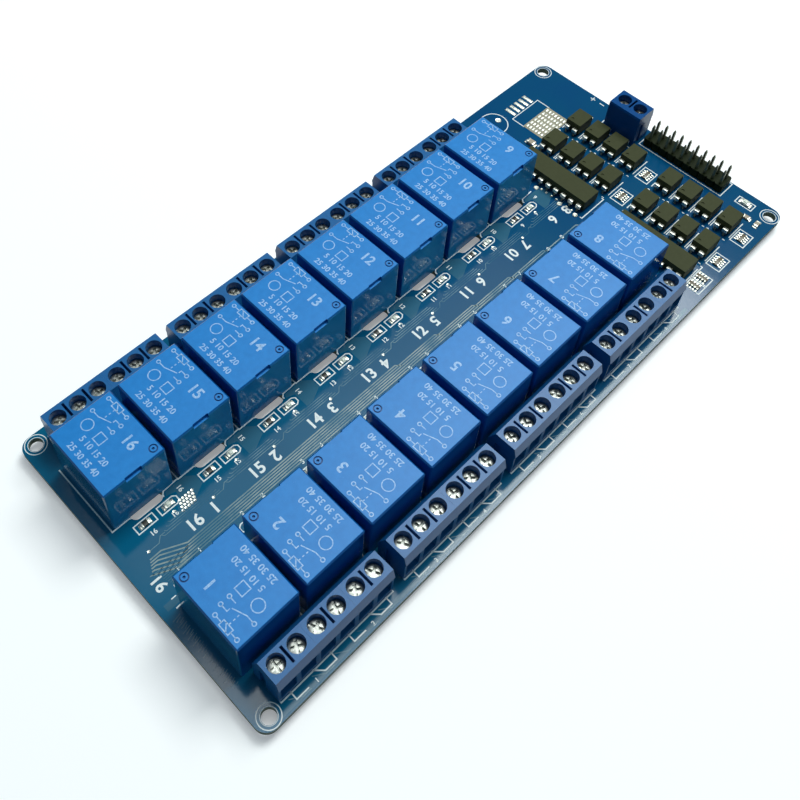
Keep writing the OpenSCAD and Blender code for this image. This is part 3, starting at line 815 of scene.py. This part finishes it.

# ---- Relays ----
# Sealed power relays: a moulded blue cover, satin on top and polished on its
# sides, over a potted base. Its five pins are soldered. The sides are painted a deeper
# blue as painted shade, and those that face open parts of the board get painted light.
relay_blue = (0.006, 0.225, 0.64)
relay_blue_dark, relay_blue_pale = (0.004, 0.21, 0.61), (0.008, 0.24, 0.67)
# The dark groove blue is painted shade.
rubbed_blue, groove_painted_shade = (0.08, 0.34, 0.78), (0.001, 0.03, 0.15)
# The sides' deep blue is painted shade, and their pale blue is painted light.
painted_side_shade, painted_side_light = (0.003, 0.1, 0.4), (0.05, 0.41, 0.68)
side_roughness, top_roughness = 0.1, 0.38
side_to, top_from = 0.3, 0.8
relay_plastic = finish("relay_plastic", relay_blue, 0.36, IOR=1.38)
worn = add_range(relay_plastic, add_noise(relay_plastic, 5200, 2), 0.66, 0.74, 0, 0.5)
mottle = add_blend(relay_plastic, add_range(relay_plastic, add_noise(relay_plastic, 700), 0.3, 0.7, 0, 1),
                   relay_blue_dark, relay_blue_pale)
top_tone = add_blend(relay_plastic, worn, mottle, rubbed_blue)
facing = add_facing(relay_plastic)
side = add_range(relay_plastic, facing, top_from, side_to, 0, 1)

# Painted light, a pale blue, lies on the faces towards the middle of the board and the plain end.
from_middle = add_math(relay_plastic, "ABSOLUTE", add_place(relay_plastic, "Y"))
inner_face = add_range(relay_plastic, from_middle,
                       (relay_inner + 0.25) * mm, (relay_inner + 0.1) * mm, 0, 1)
end_face = add_range(relay_plastic, add_place(relay_plastic, "X"),
                     relay_low.x + 0.25 * mm, relay_low.x + 0.1 * mm, 0, 0.8)
painted_light_mask = add_math(relay_plastic, "MULTIPLY", add_math(relay_plastic, "MAXIMUM", inner_face, end_face),
                add_range(relay_plastic, add_noise(relay_plastic, 60), 0.35, 0.65, 0.55, 1))
# The sides' colour runs from painted shade to painted light.
side_tone = add_blend(relay_plastic, painted_light_mask, painted_side_shade, painted_side_light)

# Faces a little under the top, as in the vent groove, are painted dark blue as painted shade.
level = add_place(relay_plastic, "Z")
groove = add_math(relay_plastic, "MULTIPLY",
                  add_range(relay_plastic, level, relay_top - 0.03 * mm, relay_top - 0.1 * mm, 0, 0.8),
                  add_range(relay_plastic, level, relay_top - 0.5 * mm, relay_top - 0.35 * mm, 0, 1))
top_tone = add_blend(relay_plastic, groove, top_tone, groove_painted_shade)
set_input(relay_plastic, "Base Color", add_blend(relay_plastic, side, top_tone, side_tone))
set_input(relay_plastic, "Roughness",
          add_range(relay_plastic, facing, side_to, top_from, side_roughness, top_roughness))
add_grain(relay_plastic, 2600, 0.00001)
for number in range(1, 2 * relay_count + 1):
    dress(f"relay_cover_k{number:02d}", relay_plastic)
potting = finish("relay_base", (0.01, 0.03, 0.07), 0.5)
add_grain(potting, 1200, 0.00002)
dress("relay_bases_lower", potting)
dress("relay_bases_upper", potting)

# The top is pad-printed in pale ink with a plain contact diagram, the channel's
# number, a ring and a square, and two rows of plain numbers.
pale_ink = finish("pale_ink", (0.4, 0.6, 0.88), 0.45)
vary_colour(pale_ink, 2400, (0.2, 0.43, 0.8), (0.44, 0.63, 0.89), (0.35, 0.65))
print_width, print_height = 0.27, 0.012
pins = [(6.3, 11.2), (6.3, 17.4), (2.2, 17.4), (2.2, 10.4), (4.3, 10.4)]
coil = rectangle(6.3, 14.3, 1.3, 2.6)
marks = [circle(-0.5, 15.4, 1.35, 22), rectangle(-0.5, 11.0, 2.2, 2.2)]
rings_and_boxes = [circle(u, v, 0.42, 12) for u, v in pins] + marks + [coil]
diagram = [[(6.3, 11.7), (6.3, 13.0)], [(6.3, 15.6), (6.3, 17.0)], [(5.65, 13.6), (6.95, 15.0)],
           [(2.2, 17.0), (2.2, 15.4), (3.3, 12.4)], [(2.2, 10.8), (2.2, 12.2)],
           [(4.3, 10.8), (4.3, 12.2), (3.6, 12.2)],
           [(5.6, 14.3), (5.1, 14.3)], [(4.6, 14.3), (4.1, 14.3)], [(3.6, 14.3), (3.1, 14.3)]]
row_v = 9.6
rows = [(number_shape("5 10 15 20", 1.45, 0.04), -3.1, row_v),
        (number_shape("25 30 35 40", 1.45, 0.04), -5.7, row_v)]
prints = []
for i, x in enumerate(relay_x):
    for half_turn in (False, True):
        s, turn = (-1, 90) if half_turn else (1, -90)
        for name, paths, closed in (("print_closed", rings_and_boxes, True), ("print_open", diagram, False)):
            paths = [turned(path, x, relay_inner, half_turn) for path in paths]
            prints.append(draw_lines(name, paths, print_width * mm, print_height * mm, relay_top,
                                     pale_ink, closed))
        channel = number_shape(str(channel_of(i, half_turn)), 2.6, 0.08)
        for shape, u, v in [(channel, 3.3, 6.2)] + rows:
            prints.append(place_shape("print_number", shape, x + s * u, s * (relay_inner + v), relay_top,
                                      turn, pale_ink))
relay_print = join("relay_print", prints)
hand_over(relay_print, "relay_blue")

# ---- Terminals ----
# Moulded blue housings in banks of six ways. A steel cage in each mouth is drawn
# up by the screw above it and pinches the wire.
terminal_plastic = finish("terminal_plastic", (0.008, 0.13, 0.36), 0.32, IOR=1.38)
vary_colour(terminal_plastic, 500, (0.006, 0.118, 0.335), (0.014, 0.14, 0.375))
add_grain(terminal_plastic, 2200, 0.000012)
for side in ("lower", "upper"):
    for bank in range(1, bank_count + 1):
        dress(f"terminal_bank_{side}_{bank}", terminal_plastic)
supply_plastic = finish("supply_plastic", (0.001, 0.068, 0.25), 0.25, IOR=1.28)
vary_colour(supply_plastic, 500, (0.001, 0.063, 0.235), (0.002, 0.074, 0.265))
add_grain(supply_plastic, 2200, 0.000012)
dress("power_terminal", supply_plastic)
plating = finish("nickel_plating", (0.48, 0.49, 0.46), 0.42, metallic=1.0)
vary_colour(plating, 1500, (0.32, 0.325, 0.28), (0.62, 0.63, 0.6))
add_grain(plating, 2400, 0.00004)
dress("terminal_clamps", plating)
dress("power_clamps", plating)


def extrude(x=0, z=0):
    """Draws the selected faces out, in mm."""
    bpy.ops.mesh.extrude_region_move(TRANSFORM_OT_translate={"value": (x * mm, 0, z * mm)})


# Nickel-plated cheese-head screws with a combined slot and cross recess; the
# thread goes down into the clamp.
head_radius, head_height, head_top = 1.78, 1.06, 9.6
thread_radius, thread_length = 1.25, 3.0
head_crown = ((0.16, 0.1), (0.42, 0.1), (0.5, 0.04))
slot_cut, cross_cut = (2 * head_radius + 1, 0.55, 0.5), (2.5, 0.7, 0.85)
cut_above = 0.24
screw = disc("screw", head_radius, head_height, facets=28, material=plating)
screw.data.transform(Matrix.Translation((0, 0, -head_height / 2 * mm)))
pick(screw, is_top)
for rim, rise in head_crown:
    bpy.ops.mesh.inset(thickness=rim * mm)
    bpy.ops.transform.translate(value=(0, 0, rise * mm))
pick(screw, lambda centre, normal: normal.z < -0.9)
bpy.ops.mesh.inset(thickness=(head_radius - thread_radius) * mm)
extrude(z=-thread_length)
bpy.ops.object.mode_set(mode="OBJECT")
for (length, width, depth), turn in ((slot_cut, 45), (cross_cut, 45), (cross_cut, 135)):
    cutter = block("cutter", (length, width, 2 * depth), (0, 0, cut_above), plating)
    cutter.data.transform(Matrix.Rotation(math.radians(turn), 4, "Z"))
    cut = screw.modifiers.new("cut", "BOOLEAN")
    cut.object = cutter
    cut.operation = "DIFFERENCE"
    bpy.ops.object.select_all(action="DESELECT")
    screw.select_set(True)
    bpy.context.view_layer.objects.active = screw
    bpy.ops.object.modifier_apply(modifier=cut.name)
    bpy.data.objects.remove(cutter)
bpy.ops.object.shade_smooth_by_angle(angle=math.radians(35))

# The screws of the long banks stand at any turn, those of the supply terminal at two.
random.seed(4)
screw_level = board_under + head_top * mm
screw_places = []
for half_turn in (False, True):
    for start in bank_starts:
        for k in range(ways_per_bank):
            x, y = turned_row([(start + way_pitch * k, -way_line)], half_turn)[0]
            screw_places.append(at(x, y, screw_level, random.uniform(0, 180)))
power_x = power_high.x / mm - 3.5
power_ys = [power_low.y / mm + way_pitch * (k + 0.5) for k in range(2)]
power_places = [at(power_x, y, screw_level, 20 + 60 * n) for n, y in enumerate(power_ys)]
power_screw = screw.copy()
power_screw.data = screw.data.copy()
bpy.context.collection.objects.link(power_screw)
hand_over(copies("terminal_screw_heads", screw, screw_places), "plated_steel", "terminal_screws")
hand_over(copies("power_screw_heads", power_screw, power_places), "plated_steel", "power_screws")

# ---- Drivers and optocouplers ----
# Dual in-line packages of dark moulding compound, with a round mark by pin one,
# on tinned leads that are bent down to the board.
compound = finish("moulding_compound", (0.041, 0.046, 0.012), 0.6, IOR=1.3)
vary_colour(compound, 900, (0.037, 0.042, 0.01), (0.05, 0.055, 0.016))
add_grain(compound, 2500, 0.00002)
for node in ["driver_1", "driver_2"] + opto_nodes:
    dress(node, compound)
for node in ("logic_tails", "relay_tails", "terminal_tails"):
    dress(node, solder)

# A lead's broad part falls from the shoulder, then narrows, and its tip goes down to the board.
shoulder_level, lead_width, lead_thickness, lead_bend = 2.2, 1.5, 0.34, 0.3
broad_fall, narrowing_fall, lead_tip_width = 0.75, 0.25, 0.5
tip_fall = shoulder_level - lead_thickness / 2 - broad_fall - narrowing_fall


def bent_lead(name, reach):
    """A lead that leaves its package at x = 0, bends at reach and goes down to the board."""
    lead = block(name, (reach + 0.2, lead_width, lead_thickness),
                 ((reach - 0.2) / 2 - 0.06, 0, shoulder_level), solder)
    pick(lead, lambda centre, normal: normal.x > 0.9)
    extrude(x=lead_bend)
    pick(lead, lambda centre, normal: normal.z < -0.9 and centre.x > (reach - 0.16) * mm)
    extrude(z=-broad_fall)
    extrude(z=-narrowing_fall)
    bpy.ops.transform.resize(value=(1, lead_tip_width / lead_width, 1))
    extrude(z=-tip_fall)
    ease(lead, 0.16, 3)
    # The faces below the broad part get dull tin, painted shade under the shoulder.
    lead.data.materials.append(matt_tin_and_lead_shade)
    for face in lead.data.polygons:
        face.material_index = 1 if face.center.z < (shoulder_level - broad_fall) * mm else 0
    return lead


lead_pitch, lead_span = 2.54, 7.62
driver_width = (driver_high.x - driver_low.x) / mm
driver_middles = [sum(corner.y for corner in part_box(node)) / 2 / mm for node in ("driver_1", "driver_2")]
driver_lead = bent_lead("driver_lead", (lead_span - driver_width) / 2)
driver_places = [
    at(driver_x + s * driver_width / 2, y + lead_pitch * (k - 4), board_top, 0 if s == 1 else 180)
    for y in driver_middles for k in range(9) for s in (1, -1)]
hand_over(copies("driver_bent_leads", driver_lead, driver_places), "tin", "driver_leads")
opto_low, opto_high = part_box("optocouplers_1_inner")
opto_length = (opto_high.x - opto_low.x) / mm
opto_lead = bent_lead("opto_lead", (lead_span - opto_length) / 2)
opto_places = [at(x + s * opto_length / 2, y + k * lead_pitch / 2, board_top, 0 if s == 1 else 180)
               for x, y in opto_centres for k in (-1, 1) for s in (1, -1)]
hand_over(copies("optocoupler_bent_leads", opto_lead, opto_places), "tin", "optocoupler_leads")

# ---- Pin header ----
# Two rows of ten square pins, blunt at the tip, pressed through a black moulded
# strip and soldered under the board.
header_plastic = finish("header_plastic", (0.008, 0.013, 0.001), 0.5, IOR=1.2)
vary_colour(header_plastic, 900, (0.006, 0.011, 0.001), (0.011, 0.017, 0.002))
add_grain(header_plastic, 2500, 0.00002)
dress("header_body", header_plastic)
# The pins' metal is painted dark, a painted reflection of dark surroundings.
pin_metal_painted_dark = finish("pin_metal_painted_dark", (0.22, 0.22, 0.15), 0.42, metallic=0.6)
vary_colour(pin_metal_painted_dark, 1400, (0.16, 0.165, 0.1), (0.3, 0.3, 0.2))
dress("header_pins", pin_metal_painted_dark)

# ---- Chip parts ----
# Thick-film resistors, lamps, four-way arrays and a capacitor, each reflowed
# flat on to tinned pads.
chip_body = finish("chip_body", (0.02, 0.02, 0.016), 0.4)
vary_colour(chip_body, 1500, (0.014, 0.014, 0.01), (0.04, 0.036, 0.026))
lamp_resin = finish("lamp_resin", (0.78, 0.8, 0.7), 0.25)
vary_colour(lamp_resin, 1500, (0.7, 0.74, 0.6), (0.86, 0.88, 0.8))
ceramic = finish("chip_ceramic", (0.42, 0.34, 0.24), 0.5)
vary_colour(ceramic, 1500, (0.34, 0.27, 0.18), (0.5, 0.42, 0.31))
body_share = 0.3


def chip(name, length, width, height, body, lens=False):
    """A chip of (length, width, height) mm with tinned ends on two pads, and a lens on a lamp."""
    piece = block(name, (length, width, height), (0, 0, height / 2), body)
    piece.data.materials.append(solder)
    for side in (-1, 1):
        pick(piece, lambda centre, normal: True)
        bpy.ops.mesh.bisect(plane_co=(side * length * body_share * mm, 0, 0), plane_no=(1, 0, 0))
    if lens:
        pick(piece, lambda centre, normal: is_top(centre, normal) and abs(centre.x) < 0.1 * length * mm)
        bpy.ops.mesh.inset(thickness=0.1 * width * mm)
        extrude(z=0.3)
        bpy.ops.transform.resize(value=(0.7, 0.7, 1))
    bpy.ops.object.mode_set(mode="OBJECT")
    for face in piece.data.polygons:
        face.material_index = 1 if abs(face.center.x) > body_share * length * mm else 0
    ease(piece, 0.05)
    pads = [solder_pad("pad", (length * 0.42, width * 1.15, 0.2), taper=(0.6, 0.8), rounding=0.06,
                       along=side * length * 0.56) for side in (-1, 1)]
    return join(name, [piece] + pads)


chip_length, chip_width, chip_height, chip_off, chip_gap = 2.0, 1.25, 0.6, 0.6, 6.0
chip_y = relay_inner - 3.35
for name, body, side, lens, slot, node in (
        ("chip_resistors", chip_body, -1, False, "chip_black", "relay_resistors"),
        ("channel_lamps", lamp_resin, 1, True, "lamp_white", "relay_lamps")):
    shape = chip(name, chip_length, chip_width, chip_height, body, lens)
    places = [at(x + s * (chip_off + side * chip_gap / 2), s * chip_y, board_top, 0 if s == 1 else 180)
              for x in relay_x for s in (1, -1)]
    hand_over(copies(name, shape, places), slot, node)

# A four-way array: a glazed body with four tinned ends and pads along each side.
array_length, array_width, array_pitch = 3.2, 1.6, 0.8
array_glaze = finish("array_glaze", (0.14, 0.11, 0.07), 0.35)
vary_colour(array_glaze, 1500, (0.08, 0.065, 0.04), (0.22, 0.17, 0.11))
array_size = (array_length - 0.2, array_width - 0.4, 0.5)
array_body = ease(block("array_body", array_size, (0, 0, 0.25), array_glaze), 0.05)
array_cap = ease(block("array_cap", (0.5, 0.45, 0.56), (0, 0, 0.28), solder), 0.06)
array_pad = solder_pad("array_pad", (0.55, 1.0, 0.18), taper=(0.7, 0.8), rounding=0.05, across=0.55)
array_end = join("array_end", [array_cap, array_pad])
ends = [at(array_pitch * (k - 1.5), s * (array_width / 2 - 0.2), 0, 0 if s == 1 else 180)
        for k in range(4) for s in (1, -1)]
array = join("array", [array_body, copies("array_ends", array_end, ends)])
array_spots = [at(x, y, board_top, turn) for x, y, turn in array_places]
hand_over(copies("chip_arrays", array, array_spots), "chip_black", "resistor_arrays")

power_lamp = chip("supply_lamp", 2.5, 1.56, 0.75, lamp_resin, lens=True)
power_lamp_spot = at(power_lamp_x, power_lamp_y, board_top, 90)
hand_over(copies("supply_lamp", power_lamp, [power_lamp_spot]), "lamp_white", "power_lamp")
small_chip = chip("small_chip", chip_length, chip_width, chip_height, ceramic)
header_x = (header_low.x + header_high.x) / 2 / mm
header_y = (header_low.y + header_high.y) / 2 / mm
small_chips = copies("small_chips", small_chip, [
    at(header_x - 4.8, header_y - 22.4 - 3.2 * k, board_top, 90 - 90 * k) for k in range(2)])
capacitor_chip = copies("capacitor_chip", chip("capacitor", 2.4, 1.6, 0.96, ceramic),
                        [at(inner_x - 3.7, array_row + 29.6, board_top, 90)])
hand_over(join("supply_chips", [small_chips, capacitor_chip]), "chip_ceramic", "logic_chips")
